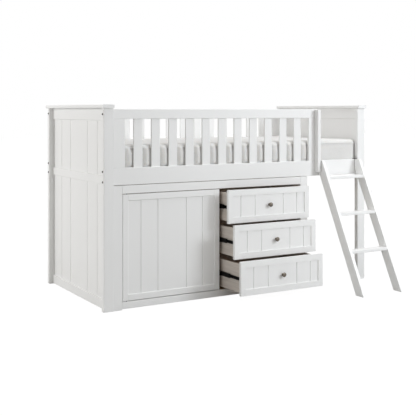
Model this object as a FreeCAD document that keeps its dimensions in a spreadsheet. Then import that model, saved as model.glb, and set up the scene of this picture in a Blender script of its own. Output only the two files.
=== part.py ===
import FreeCAD, Part
import os
import re
import Sketcher
from FreeCAD import Rotation, Vector

# A low loft bed in painted wood with a cabinet under it and a hooked-on ladder, in millimetres.
# X runs along the bed from the closed end to the ladder end, Y from the ladder side to the wall
# side and Z up. The origin is on the floor under the middle of the whole bed, ladder included.
# Places in the sections below are measured from the left end, the posts' front face and the floor.

SIZES = {
    # Posts and the crown boards on them
    "bed_length": 2050,
    "bed_depth": 1008,
    "post_width": 66,
    "post_depth": 34,
    "post_height": 1239,
    "cap_thickness": 22,
    "cap_overhang": 11,
    "cap_round": 6,
    "edge_ease": 2,
    # Rails and planked panels of the two ends
    "end_rail_setback": 28,
    "end_rail_thickness": 24,
    "end_top_rail_height": 76,
    "end_mid_rail_lift": 3,
    "end_mid_rail_height": 52,
    "bottom_rail_lift": 2.5,
    "bottom_rail_height": 58,
    "end_panel_setback": 36,
    "end_panel_thickness": 12,
    "end_groove_inner": 152,
    "end_groove_outer": 316,
    "groove_width": 6,
    "groove_depth": 5,
    # Side rails and guards
    "side_setback": 4,
    "side_thickness": 20,
    "side_rail_base": 767,
    "side_rail_height": 106,
    "guard_drop": 6,
    "guard_rail_height": 61,
    "ladder_opening_width": 360,
    "guard_stile_width": 77,
    "slat_width": 60,
    "slat_thickness": 12,
    "slat_setback": 8,
    "front_slat_count": 11,
    "back_slat_count": 14,
    "batten_width": 26,
    "batten_depth": 39,
    "batten_foot": 28,
    "batten_head": 5,
    # Connecting bolts and their square nuts
    "bolt_diameter": 6,
    "bolt_clearance": 0.2,
    "bolt_head_diameter": 14,
    "bolt_head_height": 4,
    "bolt_head_rim": 1.4,
    "bolt_face_diameter": 8,
    "bolt_socket_width": 4,
    "bolt_socket_depth": 2.4,
    "bolt_tail": 3,
    "rail_bolt_inset": 21.5,
    "nut_width": 10,
    "nut_thickness": 5,
    "nut_setback": 30,
    "nut_clearance": 0.5,
    "mortise_length": 16,
    # Slatted deck and mattress
    "deck_lift": 58,
    "ledger_width": 25,
    "ledger_height": 30,
    "ledger_inset": 100,
    "bed_slat_count": 12,
    "bed_slat_width": 70,
    "bed_slat_thickness": 18,
    "bed_slat_end_gap": 2,
    "bed_slat_inset": 110,
    "mattress_thickness": 190,
    "mattress_side_gap": 4,
    "mattress_head_gap": 40,
    "mattress_foot_gap": 6,
    "mattress_corner": 30,
    "mattress_roll": 16,
    "mattress_roll_inset": 10,
    "mattress_draw": 4,
    "mattress_crown": 6,
    "mattress_crown_inset": 90,
    "mattress_play": 0.3,
    # Cabinet under the bed
    "cabinet_length": 1469,
    "cabinet_depth": 480,
    "cabinet_top_gap": 3,
    "face_stile_width": 60,
    "face_thickness": 20,
    "face_top_rail_height": 51.5,
    "face_base_rail_lift": 6.5,
    "face_base_rail_height": 43,
    "cabinet_board": 15,
    "cabinet_side_thickness": 18,
    "cabinet_back_thickness": 6,
    "floor_notch_gap": 1,
    # Door, which turns on two pivot pins
    "reveal": 4,
    "door_hinge_gap": 2,
    "door_width": 691,
    "leaf_thickness": 20,
    "leaf_stile_width": 37,
    "leaf_rail_height": 39,
    "door_panel_setback": 7,
    "door_panel_thickness": 10,
    "door_groove_inner": 102,
    "door_groove_outer": 220,
    "pivot_inset": 30,
    "pivot_diameter": 8,
    "pivot_depth": 14,
    "pivot_clearance": 0.3,
    # Drawers and their telescopic slides
    "top_drawer_open": 103,
    "middle_drawer_open": 179,
    "bottom_drawer_open": 255,
    "field_depth": 6,
    "drawer_groove_inner": 113,
    "drawer_groove_outer": 224,
    "box_lift": 12,
    "box_headroom": 20,
    "box_wall": 12,
    "box_back_room": 34,
    "box_bottom_lift": 10,
    "box_bottom_thickness": 6,
    "slide_height": 35,
    "slide_depth": 12.7,
    "slide_web": 1.5,
    "slide_race": 3.6,
    "slide_play": 0.4,
    "slide_side_gap": 2.2,
    "slide_front_gap": 3,
    "slide_back_gap": 17,
    "knob_neck_radius": 6,
    "knob_neck_height": 13,
    "knob_flare_height": 4,
    "knob_head_radius": 15,
    "knob_head_height": 5,
    "knob_crown_height": 4,
    "knob_face_radius": 10,
    # Ladder
    "ladder_reach": 480,
    "ladder_side_gap": 3,
    "stringer_thickness": 23,
    "stringer_level": 77,
    "plumb_cut": 66,
    "first_tread": 282,
    "tread_pitch": 241.5,
    "tread_thickness": 19.5,
    "hook_thickness": 3,
    "hook_width": 20,
    "hook_lip": 22,
    "hook_play": 0.3,
}
TREAD_COUNT = 3
DRAWERS = ("bottom", "middle", "top")

# Lines that several pieces share
LEFT = "-bed_length / 2"
FRONT = "(ladder_reach - bed_depth - cap_overhang) / 2"
SIDE_RAIL_TOP = "(side_rail_base + side_rail_height)"
GUARD_RAIL_BASE = "(post_height - guard_drop - guard_rail_height)"
MID_RAIL_BASE = "(side_rail_base + end_mid_rail_lift)"
MID_RAIL_TOP = f"({MID_RAIL_BASE} + end_mid_rail_height)"
END_PANEL_TOP = "(post_height - end_top_rail_height)"
RAIL_RUN = "(bed_length - 2 * post_width)"
END_RUN = "(bed_depth - 2 * post_depth)"
END_INNER = "(end_rail_setback + end_rail_thickness)"
SIDE_INNER = "(side_setback + side_thickness)"
GUARD_RUN = f"({RAIL_RUN} - ladder_opening_width)"
GUARD_END = f"(post_width + {GUARD_RUN})"
BOLT_LINE = "(post_depth / 2 - side_setback)"
NUT_SEAT = "(post_width + nut_setback)"
BOLT_HOLE = "(bolt_diameter / 2 + bolt_clearance)"
RAIL_BOLTS = ("rail_bolt_inset", "side_rail_height - rail_bolt_inset")
GUARD_BOLT = "guard_rail_height / 2"

doc = FreeCAD.newDocument("low_loft_bed")
sheet = doc.addObject("Spreadsheet::Sheet", "Sizes")
for row, (name, number) in enumerate(SIZES.items(), 1):
    sheet.set(f"A{row}", name)
    sheet.set(f"B{row}", str(number))
    sheet.setAlias(f"B{row}", name)
doc.recompute()

parts = []


def in_sheet(text):
    """Points each size name in an expression at its cell of the sheet."""
    return re.sub(r"[a-z]\w*", lambda word: f"Sizes.{word[0]}", text)


def size(text):
    """Works out an expression of size names, in millimetres."""
    return float(sheet.evalExpression(in_sheet(text)))


def place_object(item, x, y, z):
    """Ties an object to its place from the left end, the posts' front face and the floor."""
    for axis, where in (("x", f"{LEFT} + ({x})"), ("y", f"{FRONT} + ({y})"), ("z", z)):
        item.setExpression(f"Placement.Base.{axis}", in_sheet(where))


def new_body(label, x, y, z):
    body = doc.addObject("PartDesign::Body", label)
    body.Label = label
    place_object(body, x, y, z)
    parts.append(body)
    return body


def origin_feature(body, role):
    return next(feature for feature in body.Origin.OriginFeatures if feature.Role == role)


def sketch_on(body, plane, offset="0"):
    """A sketch on one of the body's planes, moved along X, Y or Z by the offset."""
    sketch = body.newObject("Sketcher::SketchObject", "Outline")
    sketch.AttachmentSupport = [(origin_feature(body, plane), "")]
    sketch.MapMode = "FlatFace"
    outward = "-" if plane == "XZ_Plane" else ""
    sketch.setExpression("AttachmentOffset.Base.z", in_sheet(f"{outward}({offset})"))
    return sketch


def pin_point(sketch, element, end, place):
    """Ties a point of a sketch to its two distances from the sketch's axes."""
    for kind, axis, distance in (("DistanceX", -2, place[0]), ("DistanceY", -1, place[1])):
        if distance == "0":
            sketch.addConstraint(Sketcher.Constraint("PointOnObject", element, end, axis))
        else:
            index = sketch.addConstraint(Sketcher.Constraint(kind, -1, 1, element, end, size(distance)))
            sketch.setExpression(f"Constraints[{index}]", in_sheet(distance))


def draw_outline(sketch, points):
    """Adds a closed outline of straight runs through points given as pairs of expressions."""
    first = sketch.GeometryCount
    count = len(points)
    corners = [Vector(size(x), size(y), 0) for x, y in points]
    for index in range(count):
        sketch.addGeometry(Part.LineSegment(corners[index], corners[(index + 1) % count]))
    for index in range(count):
        following = first + (index + 1) % count
        sketch.addConstraint(Sketcher.Constraint("Coincident", first + index, 2, following, 1))
        pin_point(sketch, first + index, 1, points[index])


def draw_circle(sketch, centre, radius):
    middle = Vector(size(centre[0]), size(centre[1]), 0)
    circle = sketch.addGeometry(Part.Circle(middle, Vector(0, 0, 1), size(radius)))
    pin_point(sketch, circle, 3, centre)
    index = sketch.addConstraint(Sketcher.Constraint("Radius", circle, size(radius)))
    sketch.setExpression(f"Constraints[{index}]", in_sheet(radius))


def rectangle(x0, y0, x1, y1):
    return [(x0, y0), (x1, y0), (x1, y1), (x0, y1)]


def pad(body, plane, outlines, length):
    """Raises closed outlines from one of the body's planes along the positive axis."""
    sketch = sketch_on(body, plane)
    for points in outlines:
        draw_outline(sketch, points)
    raised = body.newObject("PartDesign::Pad", "Raised")
    raised.Profile = sketch
    raised.Reversed = plane == "XZ_Plane"
    raised.setExpression("Length", in_sheet(length))
    doc.recompute()
    return raised


def pocket(body, plane, offset, draw, shapes, depth, forward):
    """Cuts shapes into the body, along the positive axis where forward is true."""
    before = body.Shape.Volume
    sketch = sketch_on(body, plane, offset)
    for shape in shapes:
        draw(sketch, *shape)
    cut = body.newObject("PartDesign::Pocket", "Sunk")
    cut.Profile = sketch
    cut.Reversed = forward != (plane == "XZ_Plane")
    cut.setExpression("Length", in_sheet(depth))
    doc.recompute()
    if not body.Shape.Volume < before:
        raise RuntimeError(f"{body.Label}: a cut took nothing away")


def ease(body, feature, axis):
    """Takes the sharp arris off every edge of a feature that runs along one axis."""
    eased = body.newObject("PartDesign::Chamfer", "Eased")
    eased.Base = (feature, edges_along(feature, axis))
    eased.setExpression("Size", in_sheet("edge_ease"))
    doc.recompute()


def edges_along(feature, axis):
    direction = Vector(*(float(axis == letter) for letter in "XYZ"))
    return [
        f"Edge{number}"
        for number, edge in enumerate(feature.Shape.Edges, 1)
        if isinstance(edge.Curve, Part.Line) and abs(edge.Curve.Direction.dot(direction)) > 0.999
    ]


def repeat(body, axis, count, pitch):
    """Copies all of a body at an even pitch along one axis."""
    row = body.newObject("PartDesign::LinearPattern", "Row")
    row.TransformMode = "Whole shape"
    row.Direction = (origin_feature(body, f"{axis}_Axis"), [""])
    row.Mode = "Spacing"
    row.setExpression("Offset", in_sheet(pitch))
    row.setExpression("Occurrences", in_sheet(count))
    body.Tip = row
    doc.recompute()


def board(label, run, place, extent, eased=True):
    """A straight board: run is the axis of its grain, extent its sizes along X, Y and Z."""
    body = new_body(label, *place)
    plane = {"X": "YZ_Plane", "Y": "XZ_Plane", "Z": "XY_Plane"}[run]
    wide, high = (span for axis, span in zip("XYZ", extent) if axis != run)
    raised = pad(body, plane, [rectangle("0", "0", wide, high)], extent["XYZ".index(run)])
    if eased:
        ease(body, raised, run)
    return body


def planked_edge(width, depth, inner, outer):
    """The visible edge of a planked panel: four V-grooves about its middle, as (along, depth)."""
    points = [("0", depth)]
    for groove in (f"-{outer}", f"-{inner}", f"+{inner}", f"+{outer}"):
        middle = f"{width} / 2 {groove}"
        points.append((f"{middle} - groove_width / 2", depth))
        points.append((middle, f"{depth} + groove_depth"))
        points.append((f"{middle} + groove_width / 2", depth))
    return points + [(width, depth)]


# Four posts stand on the floor, flat boards set edge-on to the ends, drilled for the rail bolts.
def make_post(label, x, y, guarded):
    post = board(label, "Z", (x, y, "0"), ("post_width", "post_depth", "post_height"))
    heights = [f"side_rail_base + {bolt}" for bolt in RAIL_BOLTS]
    if guarded:
        heights.append(f"{GUARD_RAIL_BASE} + {GUARD_BOLT}")
    holes = [(("post_depth / 2", height), BOLT_HOLE) for height in heights]
    pocket(post, "YZ_Plane", "0", draw_circle, holes, "post_width", True)


RIGHT_POST = "bed_length - post_width"
REAR_POST = "bed_depth - post_depth"
make_post("left_front_post", "0", "0", True)
make_post("left_rear_post", "0", REAR_POST, True)
make_post("right_front_post", RIGHT_POST, "0", False)
make_post("right_rear_post", RIGHT_POST, REAR_POST, True)

# A crown board lies over each pair of posts, with rounded edges and an overhang outside the bed.
caps = new_body("end_caps", "-cap_overhang", "-cap_overhang", "post_height")
CAP_WIDTH = "(post_width + cap_overhang)"
CAP_RUN = "(bed_depth + 2 * cap_overhang)"
CAP_SECTION = rectangle("0", "0", CAP_WIDTH, "cap_thickness")
cap_board = pad(caps, "XZ_Plane", [CAP_SECTION], CAP_RUN)
cap_nosing = caps.newObject("PartDesign::Fillet", "Nosing")
cap_nosing.Base = (cap_board, edges_along(cap_board, "Y"))
cap_nosing.setExpression("Radius", in_sheet("cap_round"))
doc.recompute()
repeat(caps, "X", "2", f"bed_length + 2 * cap_overhang - {CAP_WIDTH}")

# Rails run between the posts of each end. The low rail and low panel are at the closed end only.
END_PITCH = "bed_length - 2 * end_rail_setback - end_rail_thickness"


def make_end_rail(label, base, height, both_ends):
    place = ("end_rail_setback", "post_depth", base)
    rail = board(label, "Y", place, ("end_rail_thickness", END_RUN, height))
    if both_ends:
        repeat(rail, "X", "2", END_PITCH)


make_end_rail("end_top_rails", END_PANEL_TOP, "end_top_rail_height", True)
make_end_rail("end_mid_rails", MID_RAIL_BASE, "end_mid_rail_height", True)
make_end_rail("left_bottom_rail", "bottom_rail_lift", "bottom_rail_height", False)


def make_end_panel(label, mirrored, base, top):
    """A tongue-and-groove panel; the V-grooves are on its outer face."""
    edge = planked_edge(END_RUN, "0", "end_groove_inner", "end_groove_outer")
    outline = edge + [(END_RUN, "end_panel_thickness"), ("0", "end_panel_thickness")]
    if mirrored:
        place = "bed_length - end_panel_setback - end_panel_thickness"
        outline = [(along, f"end_panel_thickness - ({depth})") for along, depth in outline]
        outline = [(along, "0" if size(depth) == 0 else depth) for along, depth in outline]
    else:
        place = "end_panel_setback"
    panel = new_body(label, place, "post_depth", base)
    pad(panel, "XY_Plane", [[(depth, along) for along, depth in outline]], f"{top} - {base}")


BOTTOM_RAIL_TOP = "(bottom_rail_lift + bottom_rail_height)"
make_end_panel("left_upper_panel", False, MID_RAIL_TOP, END_PANEL_TOP)
make_end_panel("left_lower_panel", False, BOTTOM_RAIL_TOP, MID_RAIL_BASE)
make_end_panel("right_panel", True, MID_RAIL_TOP, END_PANEL_TOP)


# Long rails are bolted through the posts into nuts that sit in mortises in their inner faces.
def make_bolted_rail(label, at_back, base, run, height, bolts, both_ends):
    y = f"bed_depth - {SIDE_INNER}" if at_back else "side_setback"
    rail = board(label, "X", ("post_width", y, base), (run, "side_thickness", height))
    line = f"side_thickness - {BOLT_LINE}" if at_back else BOLT_LINE
    holes = [((line, bolt), BOLT_HOLE) for bolt in bolts]
    mortise_ends = [("nut_setback", "nut_setback + mortise_length")]
    pocket(rail, "YZ_Plane", "0", draw_circle, holes, mortise_ends[0][1], True)
    if both_ends:
        pocket(rail, "YZ_Plane", run, draw_circle, holes, mortise_ends[0][1], False)
        mortise_ends.append((f"{run} - nut_setback - mortise_length", f"{run} - nut_setback"))
    half = "(nut_width / 2 + nut_clearance)"
    mortises = [
        (rectangle(low, f"{bolt} - {half}", high, f"{bolt} + {half}"),)
        for low, high in mortise_ends
        for bolt in bolts
    ]
    face = "0" if at_back else "side_thickness"
    depth = f"side_thickness - {BOLT_LINE} + {half}"
    pocket(rail, "XZ_Plane", face, draw_outline, mortises, depth, at_back)


make_bolted_rail("front_side_rail", False, "side_rail_base", RAIL_RUN, "side_rail_height", RAIL_BOLTS, True)
make_bolted_rail("back_side_rail", True, "side_rail_base", RAIL_RUN, "side_rail_height", RAIL_BOLTS, True)


# Each guard is a top rail over two wide stiles and evenly spaced slats that stand on the side rail.
# The front one stops at the ladder opening, so only its left end is bolted to a post.
def make_guard(side, at_back, run, count):
    rail = f"{side}_guard_rail"
    make_bolted_rail(rail, at_back, GUARD_RAIL_BASE, run, "guard_rail_height", (GUARD_BOLT,), at_back)
    rise = f"({GUARD_RAIL_BASE} - {SIDE_RAIL_TOP})"
    face = f"bed_depth - {SIDE_INNER}" if at_back else "side_setback"
    stile_place = ("post_width", face, SIDE_RAIL_TOP)
    stiles = board(f"{side}_guard_stiles", "Z", stile_place, ("guard_stile_width", "side_thickness", rise))
    repeat(stiles, "X", "2", f"{run} - guard_stile_width")
    gap = f"(({run} - 2 * guard_stile_width - {count} * slat_width) / ({count} + 1))"
    back_face = "bed_depth - side_setback - slat_setback - slat_thickness"
    slat_face = back_face if at_back else "side_setback + slat_setback"
    slat_place = (f"post_width + guard_stile_width + {gap}", slat_face, SIDE_RAIL_TOP)
    slats = board(f"{side}_guard_slats", "Z", slat_place, ("slat_width", "slat_thickness", rise))
    repeat(slats, "X", count, f"slat_width + {gap}")


make_guard("front", False, GUARD_RUN, "front_slat_count")
make_guard("back", True, RAIL_RUN, "back_slat_count")

# An upright batten on the guard's face is the grip beside the ladder opening.
batten_base = "side_rail_base + batten_foot"
batten_place = (f"{GUARD_END} - batten_width", "side_setback - batten_depth", batten_base)
batten_rise = "post_height - guard_drop - batten_head - side_rail_base - batten_foot"
board("guard_batten", "Z", batten_place, ("batten_width", "batten_depth", batten_rise))

# Ledgers screwed inside the side rails carry the loose cross slats.
SLAT_BASE = "(side_rail_base + deck_lift - bed_slat_thickness)"
ledger_place = ("post_width + ledger_inset", SIDE_INNER, f"{SLAT_BASE} - ledger_height")
ledger_run = f"{RAIL_RUN} - 2 * ledger_inset"
ledger_extent = (ledger_run, "ledger_width", "ledger_height")
ledgers = board("slat_ledgers", "X", ledger_place, ledger_extent, eased=False)
repeat(ledgers, "Y", "2", f"bed_depth - 2 * {SIDE_INNER} - ledger_width")
cross_place = ("bed_slat_inset", f"{SIDE_INNER} + bed_slat_end_gap", SLAT_BASE)
cross_run = f"bed_depth - 2 * {SIDE_INNER} - 2 * bed_slat_end_gap"
cross_slats = board("bed_slats", "Y", cross_place, ("bed_slat_width", cross_run, "bed_slat_thickness"))
cross_pitch = "(bed_length - 2 * bed_slat_inset - bed_slat_width) / (bed_slat_count - 1)"
repeat(cross_slats, "X", "bed_slat_count", cross_pitch)


# The mattress has rolled edges, sides drawn in between them and a slightly crowned top. It is pushed
# up to the ladder end.
MATTRESS_LEFT = f"({END_INNER} + mattress_head_gap)"
MATTRESS_RUN = f"(bed_length - {MATTRESS_LEFT} - {END_INNER} - mattress_foot_gap)"


def mattress_ring(height, inset):
    """A rectangle with rounded corners, drawn in from the mattress's full size by the inset."""
    side_room = size(f"{SIDE_INNER} + mattress_side_gap")
    half_x = size(MATTRESS_RUN) / 2 - inset
    half_y = size("bed_depth") / 2 - side_room - inset
    radius = size("mattress_corner") - min(inset, size("mattress_corner") / 2)
    slant = radius * (1 - 0.5 ** 0.5)
    edges = []
    corners = ((1, 1), (-1, 1), (-1, -1), (1, -1))
    for index, (sx, sy) in enumerate(corners):
        side_end = Vector(sx * half_x, sy * (half_y - radius), height)
        middle = Vector(sx * (half_x - slant), sy * (half_y - slant), height)
        end_end = Vector(sx * (half_x - radius), sy * half_y, height)
        start, stop = (side_end, end_end) if index % 2 == 0 else (end_end, side_end)
        if edges:
            edges.append(Part.makeLine(edges[-1].Vertexes[-1].Point, start))
        edges.append(Part.Arc(start, middle, stop).toShape())
    edges.append(Part.makeLine(edges[-1].Vertexes[-1].Point, edges[0].Vertexes[0].Point))
    return Part.Wire(edges)


def make_mattress():
    thickness = size("mattress_thickness")
    roll = size("mattress_roll")
    roll_inset = size("mattress_roll_inset")
    shoulder = thickness - size("mattress_crown")
    levels = (
        (0, roll_inset),
        (roll / 2, 0),
        (roll, 0),
        (shoulder / 2, size("mattress_draw")),
        (shoulder - roll, 0),
        (shoulder - roll / 2, 0),
        (shoulder, roll_inset),
        (thickness, size("mattress_crown_inset")),
    )
    mattress = doc.addObject("Part::Feature", "mattress")
    mattress.Label = "mattress"
    mattress.Shape = Part.makeLoft([mattress_ring(*level) for level in levels], True, True)
    base = "side_rail_base + deck_lift + mattress_play"
    place_object(mattress, f"{MATTRESS_LEFT} + {MATTRESS_RUN} / 2", "bed_depth / 2", base)
    parts.append(mattress)


make_mattress()


# Bolts with domed socket heads pass through the posts' outer edges into the nuts.
# Their rounds are facets, because there are many of them.
def ring_of(sides, radius, x):
    """A closed ring of straight facets about the X axis."""
    corner = Vector(x, radius, 0)
    turns = [Rotation(Vector(1, 0, 0), 360 * step / sides) for step in range(sides + 1)]
    return Part.makePolygon([turn.multVec(corner) for turn in turns])


def facetted(sides, *stations):
    """A solid about the X axis through (x, radius) stations."""
    return Part.makeLoft([ring_of(sides, radius, x) for x, radius in stations], True, True)


def bolt_solid():
    """A bolt along +X with the underside of its head at the origin."""
    shank_radius = size("bolt_diameter / 2")
    shank_end = size(f"{NUT_SEAT} + nut_thickness + bolt_tail")
    head_radius = size("bolt_head_diameter / 2")
    head_top = -size("bolt_head_height")
    socket_floor = head_top + size("bolt_socket_depth")
    socket_radius = size("bolt_socket_width") / 3 ** 0.5
    head = facetted(16, (0, head_radius), (-size("bolt_head_rim"), head_radius),
                    (head_top, size("bolt_face_diameter / 2")))
    shank = facetted(8, (0, shank_radius), (shank_end, shank_radius))
    socket = facetted(6, (head_top, socket_radius), (socket_floor, socket_radius))
    return head.fuse(shank).cut(socket)


def nut_solid():
    """A square nut on that bolt, bearing on the end of its mortise."""
    seat = size(NUT_SEAT)
    width = size("nut_width")
    thickness = size("nut_thickness")
    radius = size(BOLT_HOLE)
    block = Part.makeBox(thickness, width, width, Vector(seat, -width / 2, -width / 2))
    return block.cut(facetted(8, (seat, radius), (seat + thickness, radius)))


def make_fasteners():
    bolt, nut = bolt_solid(), nut_solid()
    bolts, nuts = [], []
    rail_heights = [size(f"side_rail_base + {height}") for height in RAIL_BOLTS]
    guard_height = size(f"{GUARD_RAIL_BASE} + {GUARD_BOLT}")
    length = size("bed_length")
    for y in (size("post_depth / 2"), size("bed_depth - post_depth / 2")):
        for at_right in (False, True):
            guarded = not at_right or y > size("bed_depth / 2")
            for z in rail_heights + [guard_height] * guarded:
                turn = Rotation(Vector(0, 0, 1), 180 * at_right)
                place = FreeCAD.Placement(Vector(length * at_right, y, z), turn).toMatrix()
                bolts.append(bolt.transformed(place))
                nuts.append(nut.transformed(place))
    for label, solids in (("bed_bolts", bolts), ("bolt_nuts", nuts)):
        fasteners = doc.addObject("Part::Feature", label)
        fasteners.Label = label
        fasteners.Shape = Part.makeCompound(solids)
        place_object(fasteners, "0", "0", "0")
        parts.append(fasteners)


make_fasteners()

# The cabinet's face frame stands on the floor under the side rail. Its closed end is the bed's own.
FACE_RIGHT = "(post_width + cabinet_length)"
BAY_RIGHT = f"({FACE_RIGHT} - face_stile_width)"
FACE_LEFT = "(post_width + face_stile_width)"
OPENING_BASE = "(face_base_rail_lift + face_base_rail_height)"
CABINET_TOP = "(side_rail_base - cabinet_top_gap)"
OPENING_TOP = f"({CABINET_TOP} - face_top_rail_height)"
FACE_BACK = "(side_setback + face_thickness)"
CABINET_BACK = "(side_setback + cabinet_depth - cabinet_back_thickness)"
OPENING_RUN = f"({BAY_RIGHT} - {FACE_LEFT})"
INNER_DEPTH = f"({CABINET_BACK} - {FACE_BACK})"
FLOOR_BASE = f"({OPENING_BASE} - cabinet_board)"
DOOR_LEFT = f"({FACE_LEFT} + door_hinge_gap)"
DIVIDER_MIDDLE = f"({DOOR_LEFT} + door_width + reveal / 2)"
BAY_LEFT = f"({DIVIDER_MIDDLE} + cabinet_board / 2)"

stile_place = ("post_width", "side_setback", "0")
face_stiles = board("cabinet_stiles", "Z", stile_place, ("face_stile_width", "face_thickness", CABINET_TOP))
repeat(face_stiles, "X", "2", "cabinet_length - face_stile_width")
top_rail_place = (FACE_LEFT, "side_setback", OPENING_TOP)
top_rail_extent = (OPENING_RUN, "face_thickness", "face_top_rail_height")
top_rail = board("cabinet_top_rail", "X", top_rail_place, top_rail_extent)
base_rail_place = (FACE_LEFT, "side_setback", "face_base_rail_lift")
base_rail_extent = (OPENING_RUN, "face_thickness", "face_base_rail_height")
base_rail = board("cabinet_base_rail", "X", base_rail_place, base_rail_extent)
side_extent = ("cabinet_side_thickness", f"{INNER_DEPTH} + cabinet_back_thickness", CABINET_TOP)
board("cabinet_right_side", "Z", (BAY_RIGHT, FACE_BACK, "0"), side_extent, eased=False)
divider_place = (f"{BAY_LEFT} - cabinet_board", FACE_BACK, OPENING_BASE)
divider_extent = ("cabinet_board", INNER_DEPTH, f"{CABINET_TOP} - {OPENING_BASE}")
board("cabinet_divider", "Z", divider_place, divider_extent, eased=False)
INNER_RUN = f"({BAY_RIGHT} - {END_INNER})"
back_extent = (INNER_RUN, "cabinet_back_thickness", f"{CABINET_TOP} - {FLOOR_BASE}")
board("cabinet_back", "X", (END_INNER, CABINET_BACK, FLOOR_BASE), back_extent, eased=False)

# The floor is notched round the bed's front post.
notch_x = f"post_width + floor_notch_gap - {END_INNER}"
notch_y = f"post_depth + floor_notch_gap - {FACE_BACK}"
floor_outline = [(notch_x, "0"), (INNER_RUN, "0"), (INNER_RUN, INNER_DEPTH),
                 ("0", INNER_DEPTH), ("0", notch_y), (notch_x, notch_y)]
cabinet_floor = new_body("cabinet_floor", END_INNER, FACE_BACK, FLOOR_BASE)
pad(cabinet_floor, "XY_Plane", [floor_outline], "cabinet_board")

# The door is a frame round a planked panel. Pins in the face frame let it turn at its left stile.
LEAF_BASE = f"({OPENING_BASE} + reveal)"
DOOR_RISE = f"({OPENING_TOP} - {OPENING_BASE} - 2 * reveal)"
PANEL_RUN = "(door_width - 2 * leaf_stile_width)"
PIVOT_HOLE = "(pivot_diameter / 2 + pivot_clearance)"
stile_extent = ("leaf_stile_width", "leaf_thickness", DOOR_RISE)
hinge_stile = board("door_hinge_stile", "Z", (DOOR_LEFT, "side_setback", LEAF_BASE), stile_extent)
pivot_bore = [(("pivot_inset", "leaf_thickness / 2"), PIVOT_HOLE)]
bore_depth = "pivot_depth + pivot_clearance"
pocket(hinge_stile, "XY_Plane", "0", draw_circle, pivot_bore, bore_depth, True)
pocket(hinge_stile, "XY_Plane", DOOR_RISE, draw_circle, pivot_bore, bore_depth, False)
free_place = (f"{DOOR_LEFT} + door_width - leaf_stile_width", "side_setback", LEAF_BASE)
board("door_free_stile", "Z", free_place, stile_extent)
rail_place = (f"{DOOR_LEFT} + leaf_stile_width", "side_setback", LEAF_BASE)
door_rails = board("door_rails", "X", rail_place, (PANEL_RUN, "leaf_thickness", "leaf_rail_height"))
repeat(door_rails, "Z", "2", f"{DOOR_RISE} - leaf_rail_height")
panel_edge = planked_edge(PANEL_RUN, "0", "door_groove_inner", "door_groove_outer")
panel_outline = panel_edge + [(PANEL_RUN, "door_panel_thickness"), ("0", "door_panel_thickness")]
panel_place = (rail_place[0], "side_setback + door_panel_setback", f"{LEAF_BASE} + leaf_rail_height")
door_panel = new_body("door_panel", *panel_place)
pad(door_panel, "XY_Plane", [panel_outline], f"{DOOR_RISE} - 2 * leaf_rail_height")

# A pin stands up out of the base rail and another hangs from the top rail.
PIVOT_PLACE = (f"{DOOR_LEFT} + pivot_inset", "side_setback + leaf_thickness / 2")
pins = new_body("door_pivot_pins", *PIVOT_PLACE, f"{OPENING_BASE} - pivot_depth")
pin_sketch = sketch_on(pins, "XY_Plane")
draw_circle(pin_sketch, ("0", "0"), "pivot_diameter / 2")
pin = pins.newObject("PartDesign::Pad", "Raised")
pin.Profile = pin_sketch
pin.setExpression("Length", in_sheet("2 * pivot_depth + reveal"))
repeat(pins, "Z", "2", f"{OPENING_TOP} - {OPENING_BASE} - reveal")
for rail, face, forward in ((base_rail, "face_base_rail_height", False), (top_rail, "0", True)):
    bore = [(("door_hinge_gap + pivot_inset", "face_thickness / 2"), "pivot_diameter / 2")]
    pocket(rail, "XY_Plane", face, draw_circle, bore, "pivot_depth", forward)

# Drawers: a routed front with a sunk planked field, a four-board box and a round metal knob.
DRAWER_LEFT = f"({DIVIDER_MIDDLE} + reveal / 2)"
DRAWER_RUN = f"({BAY_RIGHT} - reveal - {DRAWER_LEFT})"
DRAWER_COUNT = len(DRAWERS)
DRAWER_RISE = f"(({OPENING_TOP} - {OPENING_BASE} - {DRAWER_COUNT + 1} * reveal) / {DRAWER_COUNT})"
DRAWER_PITCH = f"({DRAWER_RISE} + reveal)"
BAY_RUN = f"({BAY_RIGHT} - {BAY_LEFT})"
BOX_RUN = f"({BAY_RUN} - 2 * slide_depth)"
BOX_RISE = f"({DRAWER_RISE} - box_lift - box_headroom)"
BOX_FRONT = "(side_setback + leaf_thickness)"
BOX_DEPTH = f"({CABINET_BACK} - {BOX_FRONT} - box_back_room)"
SLIDE_RUN = f"({BOX_DEPTH} - slide_front_gap - slide_back_gap)"
SLIDE_FRONT = f"({BOX_FRONT} + slide_front_gap)"


def drawer_base(level):
    return f"({LEAF_BASE} + {level} * {DRAWER_PITCH})"


def slide_base(level):
    return f"({drawer_base(level)} + box_lift + {BOX_RISE} / 2 - slide_height / 2)"


def make_drawer_front(name, y, base):
    front = new_body(f"{name}_front", DRAWER_LEFT, y, base)
    slab = pad(front, "XY_Plane", [rectangle("0", "0", DRAWER_RUN, "leaf_thickness")], DRAWER_RISE)
    ease(front, slab, "Z")
    field = rectangle("leaf_stile_width", "leaf_rail_height",
                      f"{DRAWER_RUN} - leaf_stile_width", f"{DRAWER_RISE} - leaf_rail_height")
    pocket(front, "XZ_Plane", "0", draw_outline, [(field,)], "field_depth", True)
    grooves = planked_edge(DRAWER_RUN, "field_depth", "drawer_groove_inner", "drawer_groove_outer")[1:-1]
    notches = [(grooves[first:first + 3],) for first in range(0, len(grooves), 3)]
    pocket(front, "XY_Plane", "leaf_rail_height", draw_outline, notches,
           f"{DRAWER_RISE} - 2 * leaf_rail_height", True)


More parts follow.
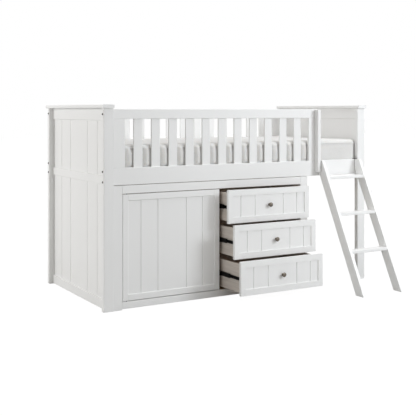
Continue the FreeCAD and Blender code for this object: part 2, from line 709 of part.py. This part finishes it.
def make_drawer_box(name, y, base):
    """Two sides with the box's front and back boards between them, and a thin bottom."""
    low = f"{base} + box_lift"
    left = f"{BAY_LEFT} + slide_depth"
    inner_run = f"({BOX_RUN} - 2 * box_wall)"
    sides = board(f"{name}_sides", "Y", (left, y, low), ("box_wall", BOX_DEPTH, BOX_RISE))
    repeat(sides, "X", "2", f"{BOX_RUN} - box_wall")
    ends = board(f"{name}_ends", "X", (f"{left} + box_wall", y, low), (inner_run, "box_wall", BOX_RISE))
    repeat(ends, "Y", "2", f"{BOX_DEPTH} - box_wall")
    for walls in (sides, ends):
        parts.remove(walls)
    box = doc.addObject("Part::Compound", f"{name}_box")
    box.Label = f"{name}_box"
    box.Links = [sides, ends]
    parts.append(box)
    bottom_place = (f"{left} + box_wall", f"{y} + box_wall", f"{low} + box_bottom_lift")
    bottom_extent = (inner_run, f"{BOX_DEPTH} - 2 * box_wall", "box_bottom_thickness")
    board(f"{name}_bottom", "X", bottom_place, bottom_extent, eased=False)


def make_knob(name, y, base):
    """A turned knob; its neck stands on the front's sunk field and points away from the bed."""
    knob = new_body(f"{name}_knob", f"{DRAWER_LEFT} + {DRAWER_RUN} / 2", y, f"{base} + {DRAWER_RISE} / 2")
    flare_top = "(knob_neck_height + knob_flare_height)"
    rim_top = f"({flare_top} + knob_head_height)"
    top = f"({rim_top} + knob_crown_height)"
    outline = [("0", "0"), ("knob_neck_radius", "0"), ("knob_neck_radius", "knob_neck_height"),
               ("knob_head_radius", flare_top), ("knob_head_radius", rim_top),
               ("knob_face_radius", top), ("0", top)]
    sketch = sketch_on(knob, "XY_Plane")
    draw_outline(sketch, outline)
    turned = knob.newObject("PartDesign::Revolution", "Turned")
    turned.Profile = sketch
    turned.ReferenceAxis = (sketch, ["V_Axis"])
    turned.Angle = 360
    knob.Placement.Rotation = Rotation(Vector(0, 0, 1), 180)


# Slide members are C-channels nested one in the next, a pair to each drawer.
STEP_IN = "(slide_web + slide_play)"
RACE_STEP = "(slide_race + slide_play)"
LIP_END = "(slide_depth - slide_side_gap)"


def make_slide_pair(label, start, tip, lift, y, base):
    """One channel on the left of the bay and its mirror image on the right."""
    low, high = lift, f"slide_height - {lift}"
    towards_drawer = size(tip) > size(start)
    web = f"{start} + slide_web" if towards_drawer else f"{start} - slide_web"
    rim = [(start, low), (tip, low), (tip, f"{low} + slide_race"), (web, f"{low} + slide_race"),
           (web, f"{high} - slide_race"), (tip, f"{high} - slide_race"), (tip, high), (start, high)]
    mirrored = [(f"{BAY_RUN} - ({x})", z) for x, z in rim]
    members = new_body(label, BAY_LEFT, y, base)
    pad(members, "XZ_Plane", [rim, mirrored], SLIDE_RUN)
    return members


for level, level_name in enumerate(DRAWERS):
    name = f"{level_name}_drawer"
    opened = f"{name}_open"
    base = drawer_base(level)
    make_drawer_front(name, f"side_setback - {opened}", base)
    make_drawer_box(name, f"{BOX_FRONT} - {opened}", base)
    make_knob(name, f"side_setback + field_depth - {opened}", base)
    make_slide_pair(f"{name}_inner_slides", "slide_depth", f"{STEP_IN} + {STEP_IN}", f"2 * {RACE_STEP}",
                    f"{SLIDE_FRONT} - {opened}", slide_base(level))
    make_slide_pair(f"{name}_middle_slides", STEP_IN, LIP_END, RACE_STEP,
                    f"{SLIDE_FRONT} - {opened} / 2", slide_base(level))
outer_slides = make_slide_pair("outer_slides", "0", LIP_END, "0", SLIDE_FRONT, slide_base(0))
repeat(outer_slides, "Z", str(DRAWER_COUNT), DRAWER_PITCH)

# The ladder leans on the side rail: two stringers with plumb-cut tops and level feet, and treads.
LADDER_LEFT = f"({GUARD_END} + ladder_side_gap)"
LADDER_WIDTH = f"({RIGHT_POST} - {GUARD_END} - 2 * ladder_side_gap)"
STRINGER_DEPTH = "(ladder_reach + side_setback - hook_play - hook_thickness)"
SLOPE = f"(({SIDE_RAIL_TOP} - plumb_cut) / ({STRINGER_DEPTH} - stringer_level))"
STRINGER_PITCH = f"({LADDER_WIDTH} - stringer_thickness)"
stringer_outline = [("0", "0"), ("stringer_level", "0"), (STRINGER_DEPTH, f"{SIDE_RAIL_TOP} - plumb_cut"),
                    (STRINGER_DEPTH, SIDE_RAIL_TOP), (f"{SIDE_RAIL_TOP} / {SLOPE}", SIDE_RAIL_TOP)]
stringers = new_body("ladder_stringers", LADDER_LEFT, "-ladder_reach", "0")
pad(stringers, "YZ_Plane", [stringer_outline], "stringer_thickness")
repeat(stringers, "X", "2", STRINGER_PITCH)
tread_outlines = []
for step in range(TREAD_COUNT):
    tread_top = f"(first_tread + {step} * tread_pitch)"
    tread_front = f"{tread_top} / {SLOPE}"
    tread_back = f"({tread_top} - tread_thickness) / {SLOPE} + stringer_level"
    tread_outlines.append(rectangle(tread_front, f"{tread_top} - tread_thickness", tread_back, tread_top))
treads = new_body("ladder_treads", f"{LADDER_LEFT} + stringer_thickness", "-ladder_reach", "0")
ease(treads, pad(treads, "YZ_Plane", tread_outlines, f"{STRINGER_PITCH} - stringer_thickness"), "X")

# A bent steel strap on each plumb cut hooks over the side rail.
hook_height = "(plumb_cut + hook_play)"
hook_back = "(hook_thickness + side_thickness + 2 * hook_play)"
hook_outline = [("0", "0"), ("hook_thickness", "0"), ("hook_thickness", hook_height),
                (hook_back, hook_height), (hook_back, f"{hook_height} - hook_lip"),
                (f"{hook_back} + hook_thickness", f"{hook_height} - hook_lip"),
                (f"{hook_back} + hook_thickness", f"{hook_height} + hook_thickness"),
                ("0", f"{hook_height} + hook_thickness")]
hook_place = (f"{LADDER_LEFT} + (stringer_thickness - hook_width) / 2", f"{STRINGER_DEPTH} - ladder_reach",
              f"{SIDE_RAIL_TOP} - plumb_cut")
hooks = new_body("ladder_hooks", *hook_place)
pad(hooks, "YZ_Plane", [hook_outline], "hook_width")
repeat(hooks, "X", "2", STRINGER_PITCH)

doc.recompute()
for item in doc.Objects:
    if {"Invalid", "Error"} & set(item.State):
        raise RuntimeError(f"{item.Label} did not build")
for part in parts:
    if part.Shape.isNull() or not part.Shape.isValid():
        raise RuntimeError(f"{part.Label} has no sound shape")
os.makedirs("parts", exist_ok=True)
for part in parts:
    part.Shape.exportStep(f"parts/{part.Label}.step")
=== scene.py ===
from math import radians

import bmesh
import bpy
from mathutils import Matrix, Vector


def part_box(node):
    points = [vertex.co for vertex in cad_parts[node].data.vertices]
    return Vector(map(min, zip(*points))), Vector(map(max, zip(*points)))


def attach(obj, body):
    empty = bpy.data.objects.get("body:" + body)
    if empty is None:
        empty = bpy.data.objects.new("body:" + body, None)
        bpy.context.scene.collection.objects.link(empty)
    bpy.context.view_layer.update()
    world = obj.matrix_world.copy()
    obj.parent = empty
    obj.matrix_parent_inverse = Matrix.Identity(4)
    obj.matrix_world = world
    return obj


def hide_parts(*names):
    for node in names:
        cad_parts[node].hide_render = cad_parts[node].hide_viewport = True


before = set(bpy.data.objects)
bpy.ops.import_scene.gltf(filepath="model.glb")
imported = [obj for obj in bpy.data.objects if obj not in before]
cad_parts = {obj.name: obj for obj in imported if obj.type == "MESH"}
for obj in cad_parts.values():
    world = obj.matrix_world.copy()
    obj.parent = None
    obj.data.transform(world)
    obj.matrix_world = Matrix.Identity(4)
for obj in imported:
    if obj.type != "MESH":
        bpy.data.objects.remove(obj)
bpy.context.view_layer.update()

scene = bpy.context.scene
scene.view_settings.view_transform = "Standard"


# The studio: a pale seamless floor that runs out of sight in every direction. The camera sees it
# and the air above it as white, and the bed's soft shadow stays on it.
ROOM_LIGHT = 0.36
FLOOR_GLOW = 1.14
FLOOR_CLEAN_SHARE = 0.86
FLOOR_SIZE = 60.0


def linear(code):
    """The linear colour of an sRGB hex value."""
    shares = [int(code[first:first + 2], 16) / 255 for first in (0, 2, 4)]
    return [share / 12.92 if share <= 0.04045 else ((share + 0.055) / 1.055) ** 2.4
            for share in shares] + [1.0]


def add_node(tree, kind, inputs=None, **settings):
    """Adds a node with its settings; an input is a value, or the socket that feeds it."""
    node = tree.nodes.new(kind)
    for name, value in settings.items():
        setattr(node, name, value)
    for name, value in (inputs or {}).items():
        if isinstance(value, bpy.types.NodeSocket):
            tree.links.new(value, node.inputs[name])
        else:
            node.inputs[name].default_value = value
    return node


def seen_by_eye(tree):
    """1 for rays that reach the eye straight, in a reflection or through glass, else 0."""
    path = add_node(tree, "ShaderNodeLightPath")
    mirrored = add_node(tree, "ShaderNodeMath", operation="MAXIMUM", inputs={
        0: path.outputs["Is Camera Ray"], 1: path.outputs["Is Glossy Ray"]})
    clear = add_node(tree, "ShaderNodeMath", operation="MAXIMUM", inputs={
        0: mirrored.outputs[0], 1: path.outputs["Is Transmission Ray"]})
    return clear.outputs[0]


def new_material(name):
    material = bpy.data.materials.new(name)
    material.use_nodes = True
    material.node_tree.nodes.clear()
    return material


world = bpy.data.worlds.new("soft_room")
scene.world = world
world.use_nodes = True
air = world.node_tree
air.nodes.clear()
room = add_node(air, "ShaderNodeBackground", {"Color": linear("f7f3ee"), "Strength": ROOM_LIGHT})
white_air = add_node(air, "ShaderNodeBackground", {"Color": linear("ffffff"), "Strength": 1.0})
shown_air = add_node(air, "ShaderNodeMixShader",
                     {0: seen_by_eye(air), 1: room.outputs[0], 2: white_air.outputs[0]})
add_node(air, "ShaderNodeOutputWorld", {"Surface": shown_air.outputs[0]})

floor_paper = new_material("seamless_white_paper")
tree = floor_paper.node_tree
lit_paper = add_node(tree, "ShaderNodeBsdfDiffuse", {"Color": linear("c4c4c2"), "Roughness": 1.0})
white_paper = add_node(tree, "ShaderNodeEmission", {"Color": linear("ffffff"), "Strength": FLOOR_GLOW})
clean_share = add_node(tree, "ShaderNodeMath", {0: seen_by_eye(tree), 1: FLOOR_CLEAN_SHARE},
                       operation="MULTIPLY")
paper = add_node(tree, "ShaderNodeMixShader",
                 {0: clean_share.outputs[0], 1: lit_paper.outputs[0], 2: white_paper.outputs[0]})
add_node(tree, "ShaderNodeOutputMaterial", {"Surface": paper.outputs[0]})

bpy.ops.object.select_all(action="DESELECT")
bpy.ops.mesh.primitive_plane_add(size=FLOOR_SIZE, location=(0, 0, 0))
floor = bpy.context.object
floor.name = "studio_floor"
floor.data.materials.append(floor_paper)


# The lamps: a small soft box at the front right draws the shadows, and wide ones fill from the front,
# from above and from beside the closed end. A box behind a narrow grid lifts the ladder's shaded side.
def soft_box(name, place, aim, width, power, tint, spread=180):
    lamp = bpy.data.lights.new(name, "AREA")
    lamp.shape = "SQUARE"
    lamp.size = width
    lamp.energy = power
    lamp.spread = radians(spread)
    lamp.color = linear(tint)[:3]
    holder = bpy.data.objects.new(name, lamp)
    scene.collection.objects.link(holder)
    holder.location = place
    holder.rotation_euler = (Vector(aim) - Vector(place)).to_track_quat("-Z", "Y").to_euler()


soft_box("key_soft_box", place=(3.0, -3.8, 2.6), aim=(0.3, -0.2, 0.6),
         width=1.6, power=112, tint="f6faff")
soft_box("front_soft_box", place=(1.2, -5.5, 3.4), aim=(0.2, -0.2, 0.6),
         width=3.0, power=47, tint="f6faff")
soft_box("overhead_soft_box", place=(0.0, -0.5, 6.0), aim=(0.0, 0.0, 0.6),
         width=4.0, power=134, tint="fcfdff")
soft_box("end_soft_box", place=(-5.0, 2.4, 1.8), aim=(-1.0, 0.3, 0.6),
         width=2.5, power=114, tint="ffffff")
soft_box("ladder_grid_box", place=(-4.5, -1.7, 0.8), aim=(0.78, -0.55, 0.5),
         width=0.8, power=0.3, tint="ffffff", spread=10)

# The camera stands level at eye height of a seated person and its frame is shifted down, as in
# the photograph. Its angle and place come from the straight edges of the bed.
CAMERA_PLACE = (-3.0034, -4.9170, 1.2259)
CAMERA_YAW = 30.2265
CAMERA_LENS = 71.73
SENSOR_WIDTH = 36
FRAME_DROP = 0.235
camera = bpy.data.objects.new("photo_camera", bpy.data.cameras.new("photo_camera"))
camera.data.lens = CAMERA_LENS
camera.data.sensor_width = SENSOR_WIDTH
camera.data.shift_y = -FRAME_DROP
camera.location = CAMERA_PLACE
camera.rotation_euler = (radians(90), 0, radians(-CAMERA_YAW))
scene.collection.objects.link(camera)
scene.camera = camera


# The posts, rails, panels and guards: solid wood and board, sprayed with satin white lacquer.
# The lacquer is smooth and slightly warm, with a faint pull along each board and a fine orange peel.
MM = 0.001
PULL_WIDTH = 9 * MM
PULL_LENGTH = 260 * MM
PULL_RISE = 0.3 * MM
PEEL_GRAIN = 2.5 * MM
PEEL_RISE = 0.1 * MM
TONE_PATCH = 420 * MM


def white_lacquer(run):
    """Satin lacquer on a board whose grain runs along one axis."""
    material = new_material(f"satin_white_lacquer_{run}")
    tree = material.node_tree
    place = add_node(tree, "ShaderNodeTexCoord").outputs["Object"]
    stretch = [1 / (PULL_LENGTH if axis == run else PULL_WIDTH) for axis in "xyz"]
    along = add_node(tree, "ShaderNodeMapping", {"Vector": place, "Scale": stretch})
    pull = add_node(tree, "ShaderNodeTexNoise", {"Vector": along.outputs[0], "Scale": 1.0, "Detail": 3.0})
    peel = add_node(tree, "ShaderNodeTexNoise", {"Vector": place, "Scale": 1 / PEEL_GRAIN, "Detail": 2.0})
    patch = add_node(tree, "ShaderNodeTexNoise", {"Vector": place, "Scale": 1 / TONE_PATCH, "Detail": 2.0})
    tone = add_node(tree, "ShaderNodeMix", data_type="RGBA", inputs={
        "Factor": patch.outputs[0], "A": linear("efefee"), "B": linear("f2f2f1")})
    gloss = add_node(tree, "ShaderNodeMapRange", {"Value": pull.outputs[0], "To Min": 0.36, "To Max": 0.50})
    ridges = add_node(tree, "ShaderNodeBump", {
        "Height": pull.outputs[0], "Strength": 0.05, "Distance": PULL_RISE})
    skin = add_node(tree, "ShaderNodeBump", {
        "Height": peel.outputs[0], "Strength": 0.06, "Distance": PEEL_RISE, "Normal": ridges.outputs[0]})
    surface = add_node(tree, "ShaderNodeBsdfPrincipled", {
        "Base Color": tone.outputs["Result"], "IOR": 1.5, "Roughness": gloss.outputs[0],
        "Normal": skin.outputs[0]})
    add_node(tree, "ShaderNodeOutputMaterial", {"Surface": surface.outputs[0]})
    return material


def finish_nodes(material, *names):
    for name in names:
        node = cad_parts[name]
        node.data.materials.clear()
        node.data.materials.append(material)


lacquer = {run: white_lacquer(run) for run in "xyz"}
finish_nodes(lacquer["z"], "left_front_post", "left_rear_post", "right_front_post", "right_rear_post",
             "left_upper_panel", "left_lower_panel", "right_panel", "guard_batten",
             "front_guard_stiles", "front_guard_slats", "back_guard_stiles", "back_guard_slats")
finish_nodes(lacquer["y"], "end_caps", "end_top_rails", "end_mid_rails", "left_bottom_rail")
finish_nodes(lacquer["x"], "front_side_rail", "back_side_rail", "front_guard_rail", "back_guard_rail")


# The bolts, their nuts and the door's pivot pins: small turned and pressed pieces of plated steel.
# The bolts pass through the posts into nuts in the rails. Darkened zinc gives a dull grey shine.
ZINC_SPECK = 1.5 * MM


def plain_metal(name, tint, roughness, speck):
    """A metal whose shine varies a little over specks of one real size."""
    material = new_material(name)
    tree = material.node_tree
    place = add_node(tree, "ShaderNodeTexCoord").outputs["Object"]
    cloud = add_node(tree, "ShaderNodeTexNoise", {"Vector": place, "Scale": 1 / speck, "Detail": 3.0})
    gloss = add_node(tree, "ShaderNodeMapRange", {
        "Value": cloud.outputs[0], "To Min": roughness * 0.8, "To Max": roughness * 1.25})
    surface = add_node(tree, "ShaderNodeBsdfPrincipled", {
        "Base Color": linear(tint), "Metallic": 1.0, "Roughness": gloss.outputs[0]})
    add_node(tree, "ShaderNodeOutputMaterial", {"Surface": surface.outputs[0]})
    return material


dark_zinc = plain_metal("dark_zinc_plated_steel", "5c5b59", roughness=0.42, speck=ZINC_SPECK)
finish_nodes(dark_zinc, "bed_bolts", "bolt_nuts", "door_pivot_pins")

# The deck: ledgers and loose cross slats under the mattress, seen only from below. Planed pine without
# a finish is honey-coloured, with drawn-out rings and fine pores.
PINE_RING = 11 * MM
RING_DRAW = 0.04
FLECK_WIDTH = 1.2 * MM
FLECK_DRAW = 0.02
PORE_DEPTH = 0.2 * MM


def bare_wood(name, run, early, late, ring):
    """Planed wood with its growth rings drawn out along one axis."""
    material = new_material(name)
    tree = material.node_tree
    place = add_node(tree, "ShaderNodeTexCoord").outputs["Object"]
    stretch = [(RING_DRAW if axis == run else 1.0) / ring for axis in "xyz"]
    along = add_node(tree, "ShaderNodeMapping", {"Vector": place, "Scale": stretch})
    rings = add_node(tree, "ShaderNodeTexNoise", {
        "Vector": along.outputs[0], "Scale": 1.0, "Detail": 4.0, "Distortion": 0.6})
    fine = [(FLECK_DRAW if axis == run else 1.0) / FLECK_WIDTH for axis in "xyz"]
    grain = add_node(tree, "ShaderNodeMapping", {"Vector": place, "Scale": fine})
    fleck = add_node(tree, "ShaderNodeTexNoise", {"Vector": grain.outputs[0], "Scale": 1.0, "Detail": 2.0})
    bands = add_node(tree, "ShaderNodeMapRange", {
        "Value": rings.outputs[0], "From Min": 0.35, "From Max": 0.65})
    tone = add_node(tree, "ShaderNodeMix", data_type="RGBA", inputs={
        "Factor": bands.outputs[0], "A": linear(early), "B": linear(late)})
    gloss = add_node(tree, "ShaderNodeMapRange", {"Value": fleck.outputs[0], "To Min": 0.55, "To Max": 0.75})
    pores = add_node(tree, "ShaderNodeBump", {
        "Height": fleck.outputs[0], "Strength": 0.15, "Distance": PORE_DEPTH})
    surface = add_node(tree, "ShaderNodeBsdfPrincipled", {
        "Base Color": tone.outputs["Result"], "IOR": 1.5, "Roughness": gloss.outputs[0],
        "Normal": pores.outputs[0]})
    add_node(tree, "ShaderNodeOutputMaterial", {"Surface": surface.outputs[0]})
    return material


finish_nodes(bare_wood("planed_pine_x", "x", "d9bd92", "c39c66", PINE_RING), "slat_ledgers")
finish_nodes(bare_wood("planed_pine_y", "y", "dcc197", "c7a06b", PINE_RING), "bed_slats")

# The mattress: a foam core in a tight knitted cover, with a thin welt sewn round its top and bottom rims.
# It fits close between the side rails, so its cover presses out a little between the guards' slats.
mattress_low, mattress_high = (Vector(corner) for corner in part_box("mattress"))
mattress_middle = (mattress_low + mattress_high) / 2
SWELL = 2 * MM
CORNER_ROUND = 30 * MM
CORNER_FACETS = 8
RIM_ROUND = 22 * MM
RIM_FACETS = 4
LEVEL_WITHIN = 0.001 * MM
COVER_VOXEL = 9 * MM
FILL_FRAMES = 14
FILL_PRESSURE = 3.0
COVER_STIFFNESS = 25
COVER_BEND = 8
cover_size = mattress_high - mattress_low - Vector((SWELL, SWELL, SWELL)) * 2


def only(piece):
    """Selects one piece and makes it the active one."""
    bpy.ops.object.select_all(action="DESELECT")
    piece.select_set(True)
    bpy.context.view_layer.objects.active = piece


def select_edges(piece, wanted):
    """Selects the edges of a piece, in edit mode, whose two ends pass a test."""
    shape = bmesh.from_edit_mesh(piece.data)
    bpy.ops.mesh.select_all(action="DESELECT")
    for edge in shape.edges:
        edge.select = wanted(*(vertex.co for vertex in edge.verts))
    shape.select_flush_mode()
    bmesh.update_edit_mesh(piece.data)


bpy.ops.object.select_all(action="DESELECT")
bpy.ops.mesh.primitive_cube_add(size=1, location=mattress_middle, scale=cover_size)
mattress = bpy.context.object
mattress.name = "mattress_padded"
bpy.ops.object.transform_apply(location=True, rotation=True, scale=True)
bpy.ops.object.mode_set(mode="EDIT")
select_edges(mattress, lambda a, b: abs(a.z - b.z) > SWELL)
bpy.ops.mesh.bevel(offset=CORNER_ROUND, segments=CORNER_FACETS)
select_edges(mattress, lambda a, b: abs(a.z - b.z) < LEVEL_WITHIN)
bpy.ops.mesh.bevel(offset=RIM_ROUND, segments=RIM_FACETS)
bpy.ops.object.mode_set(mode="OBJECT")
fabric_form = mattress.modifiers.new("cover_grid", "REMESH")
fabric_form.mode = "VOXEL"
fabric_form.voxel_size = COVER_VOXEL
only(mattress)
bpy.ops.object.modifier_apply(modifier="cover_grid")
flat_cover = [vertex.co.copy() for vertex in mattress.data.vertices]
filling = mattress.modifiers.new("filling", "CLOTH")
filling.settings.use_pressure = True
filling.settings.uniform_pressure_force = FILL_PRESSURE
filling.settings.tension_stiffness = COVER_STIFFNESS
filling.settings.compression_stiffness = COVER_STIFFNESS
filling.settings.bending_stiffness = COVER_BEND
filling.settings.effector_weights.gravity = 0
filling.point_cache.frame_end = FILL_FRAMES
for step in range(1, FILL_FRAMES + 1):
    scene.frame_set(step)
bpy.ops.object.modifier_apply(modifier="filling")
scene.frame_set(1)
for vertex, start in zip(mattress.data.vertices, flat_cover):
    swelling = vertex.co - start
    if swelling.length > SWELL:
        vertex.co = start + swelling * (SWELL / swelling.length)

SLAT_WIDTH = 60 * MM
FRONT_SLATS = 11
BACK_SLATS = 14
PRESS_OUT = 11 * MM
PRESS_CORE = 10 * MM
PRESS_REACH = 24 * MM
PRESS_ABOVE_RAIL = 18 * MM


def press_out(slats, count, rail, outward):
    """Draws the cover out a little between a guard's slats, above the rail that they stand on."""
    first, last = (Vector(corner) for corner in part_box(slats))
    pitch = (last.x - first.x - SLAT_WIDTH) / (count - 1)
    gaps = [first.x - (pitch - SLAT_WIDTH) / 2 + pitch * turn for turn in range(count + 1)]
    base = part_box(rail)[1][2] + PRESS_ABOVE_RAIL
    crest = mattress_high.z - RIM_ROUND
    shape = bmesh.from_edit_mesh(mattress.data)
    bpy.ops.mesh.select_all(action="DESELECT")
    for vertex in shape.verts:
        depth = cover_size.y / 2 - outward * (vertex.co.y - mattress_middle.y)
        beside = min(abs(vertex.co.x - middle) for middle in gaps)
        vertex.select = depth < SWELL and beside < PRESS_CORE and base < vertex.co.z < crest
    shape.select_flush_mode()
    bmesh.update_edit_mesh(mattress.data)
    bpy.ops.transform.translate(value=(0, outward * PRESS_OUT, 0), use_proportional_edit=True,
                                proportional_edit_falloff="SMOOTH", proportional_size=PRESS_REACH)


bpy.ops.object.mode_set(mode="EDIT")
bpy.ops.mesh.select_mode(type="VERT")
press_out("front_guard_slats", FRONT_SLATS, "front_side_rail", -1)
press_out("back_guard_slats", BACK_SLATS, "back_side_rail", 1)
bpy.ops.object.mode_set(mode="OBJECT")
bpy.ops.object.shade_smooth()

WELT_THICK = 5 * MM
WELT_FACETS = 10


def rim_welt(height):
    """A soft welt that runs round the mattress at one height."""
    bpy.ops.object.select_all(action="DESELECT")
    bpy.ops.mesh.primitive_plane_add(size=1, location=(mattress_middle.x, mattress_middle.y, height))
    welt = bpy.context.object
    welt.scale = (cover_size.x, cover_size.y, 1)
    bpy.ops.object.transform_apply(location=True, rotation=True, scale=True)
    bpy.ops.object.mode_set(mode="EDIT")
    bpy.ops.mesh.select_all(action="SELECT")
    bpy.ops.mesh.bevel(offset=CORNER_ROUND, segments=WELT_FACETS, affect="VERTICES")
    bpy.ops.mesh.select_all(action="SELECT")
    bpy.ops.mesh.delete(type="ONLY_FACE")
    bpy.ops.object.mode_set(mode="OBJECT")
    bpy.ops.object.convert(target="CURVE")
    welt.data.bevel_depth = WELT_THICK / 2
    welt.data.bevel_resolution = 3
    bpy.ops.object.convert(target="MESH")
    bpy.ops.object.shade_smooth()
    return welt


welts = [rim_welt(mattress_low.z + SWELL + RIM_ROUND), rim_welt(mattress_high.z - SWELL - RIM_ROUND)]

KNIT_PITCH = 4 * MM
KNIT_RISE = 0.6 * MM
CREASE = 90 * MM
CREASE_RISE = 6 * MM
CLOTH_GLOW = (12 * MM, 11 * MM, 10 * MM)


def knitted_cover(name, pale, deep):
    """Polyester knit: soft and matt, with cells drawn coarser than the real thread so that they show."""
    material = new_material(name)
    tree = material.node_tree
    place = add_node(tree, "ShaderNodeTexCoord").outputs["Object"]
    cells = add_node(tree, "ShaderNodeTexVoronoi", {"Vector": place, "Scale": 1 / KNIT_PITCH})
    creases = add_node(tree, "ShaderNodeTexNoise", {"Vector": place, "Scale": 1 / CREASE, "Detail": 3.0})
    weave = add_node(tree, "ShaderNodeMath", operation="MULTIPLY", inputs={
        0: cells.outputs["Distance"], 1: creases.outputs[0]})
    tone = add_node(tree, "ShaderNodeMix", data_type="RGBA", inputs={
        "Factor": weave.outputs[0], "A": linear(pale), "B": linear(deep)})
    thread = add_node(tree, "ShaderNodeBump", {
        "Height": cells.outputs["Distance"], "Strength": 0.25, "Distance": KNIT_RISE})
    fold = add_node(tree, "ShaderNodeBump", {
        "Height": creases.outputs[0], "Strength": 0.25, "Distance": CREASE_RISE,
        "Normal": thread.outputs[0]})
    surface = add_node(tree, "ShaderNodeBsdfPrincipled", {
        "Base Color": tone.outputs["Result"], "Roughness": 0.9, "Normal": fold.outputs[0],
        "Sheen Weight": 0.25, "Sheen Roughness": 0.5,
        "Subsurface Weight": 0.7, "Subsurface Scale": 1.0, "Subsurface Radius": CLOTH_GLOW})
    add_node(tree, "ShaderNodeOutputMaterial", {"Surface": surface.outputs[0]})
    return material


mattress.data.materials.append(knitted_cover("polyester_knit", "e2e1df", "cfcecb"))
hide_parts("mattress")
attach(mattress, "bed_frame")
welt_cloth = knitted_cover("welt_cloth", "e6e5e3", "d6d5d2")
for name, welt in zip(("mattress_bottom_welt", "mattress_top_welt"), welts):
    welt.name = name
    welt.data.materials.append(welt_cloth)
    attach(welt, "bed_frame")

# The cabinet: a painted face frame and side, with veneered boards inside and at the back.
# The poplar veneer is a plain mid brown, a shade darker in its broad rings.
VENEER_RING = 16 * MM
finish_nodes(lacquer["z"], "cabinet_stiles", "cabinet_right_side")
finish_nodes(lacquer["x"], "cabinet_top_rail", "cabinet_base_rail")
upright_veneer = bare_wood("poplar_veneer_z", "z", "b59c7d", "9d8263", VENEER_RING)
finish_nodes(upright_veneer, "cabinet_divider", "cabinet_back")
finish_nodes(bare_wood("poplar_veneer_x", "x", "b59c7d", "9d8263", VENEER_RING), "cabinet_floor")

# The door: a painted frame round a planked panel, without a handle. It turns on pins hidden in
# its hinge stile's ends.
finish_nodes(lacquer["z"], "door_hinge_stile", "door_free_stile", "door_panel")
finish_nodes(lacquer["x"], "door_rails")

# The drawers: painted fronts on plywood boxes that run on ball-bearing slides. The boxes are a pale
# grey-beige, their thin bottoms browner, and the slides a dull black.
BOX_RING = 9 * MM
BOTTOM_RING = 18 * MM
COATING_SPECK = 4 * MM
DRAWERS = ("top_drawer", "middle_drawer", "bottom_drawer")
box_wood = bare_wood("grey_beige_plywood", "y", "d2c9c0", "c4bbb2", BOX_RING)
bottom_wood = bare_wood("poplar_plywood", "x", "b08e66", "9a774f", BOTTOM_RING)
slide_steel = plain_metal("black_coated_steel", "141414", roughness=0.5, speck=COATING_SPECK)
finish_nodes(slide_steel, "outer_slides")
for drawer in DRAWERS:
    finish_nodes(lacquer["z"], f"{drawer}_front")
    finish_nodes(box_wood, f"{drawer}_box")
    finish_nodes(bottom_wood, f"{drawer}_bottom")
    finish_nodes(slide_steel, f"{drawer}_inner_slides", f"{drawer}_middle_slides")

# The knobs: turned metal, one on each drawer, with a small foot, a waisted neck, a rolled rim and a
# low domed face. The antique nickel is brownish and dark, partly a painted dark reflection in its base
# colour.
KNOB_SIDES = 48
NICKEL_SPECK = 2 * MM
KNOB_FOOT = 8.5 * MM
KNOB_CREASE = 40
# Each pair is a height above the drawer's front and the radius there, in millimetres.
KNOB_TURNING = ((1.4, 8.5), (2.4, 6.6), (6.0, 5.6), (10.0, 6.4), (13.5, 9.6), (16.2, 13.4), (17.8, 14.8),
                (20.4, 14.8), (21.8, 14.0), (22.6, 12.2), (23.6, 11.6), (25.0, 7.6), (25.8, 3.0))
# The dark base colour is partly the antique finish and partly painted shade standing in for the dark
# surroundings the knob would reflect.
knob_nickel_painted_dark = plain_metal("antique_nickel_painted_dark_reflection", "6b645c", roughness=0.28, speck=NICKEL_SPECK)
bpy.ops.object.select_all(action="DESELECT")
bpy.ops.mesh.primitive_circle_add(vertices=KNOB_SIDES, radius=KNOB_FOOT, fill_type="NGON", location=(0, 0, 0))
turned_knob = bpy.context.object
bpy.ops.object.mode_set(mode="EDIT")
bpy.ops.mesh.select_all(action="SELECT")
height = 0.0
radius = KNOB_FOOT
for next_height, next_radius in KNOB_TURNING:
    bpy.ops.mesh.extrude_region_move(TRANSFORM_OT_translate={"value": (0, 0, next_height * MM - height)})
    widening = next_radius * MM / radius
    bpy.ops.transform.resize(value=(widening, widening, 1))
    height = next_height * MM
    radius = next_radius * MM
bpy.ops.mesh.select_all(action="SELECT")
bpy.ops.mesh.normals_make_consistent(inside=False)
bpy.ops.object.mode_set(mode="OBJECT")
turned_knob.data.materials.append(knob_nickel_painted_dark)
turned_knob.rotation_euler.x = radians(90)
bpy.ops.object.transform_apply(location=True, rotation=True, scale=True)
bpy.ops.object.shade_smooth_by_angle(angle=radians(KNOB_CREASE))
for drawer in DRAWERS:
    low, high = (Vector(corner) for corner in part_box(f"{drawer}_knob"))
    only(turned_knob)
    bpy.ops.object.duplicate()
    knob = bpy.context.object
    knob.name = f"{drawer}_turned_knob"
    knob.location = ((low.x + high.x) / 2, high.y, (low.z + high.z) / 2)
    bpy.ops.object.transform_apply(location=True, rotation=True, scale=True)
    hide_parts(f"{drawer}_knob")
    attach(knob, drawer)
bpy.data.objects.remove(turned_knob)

# The ladder: two painted stringers that lean on the front rail, and three treads between them.
# A black steel strap on each stringer's top hooks over the rail.
finish_nodes(lacquer["z"], "ladder_stringers")
finish_nodes(lacquer["x"], "ladder_treads")
finish_nodes(slide_steel, "ladder_hooks")
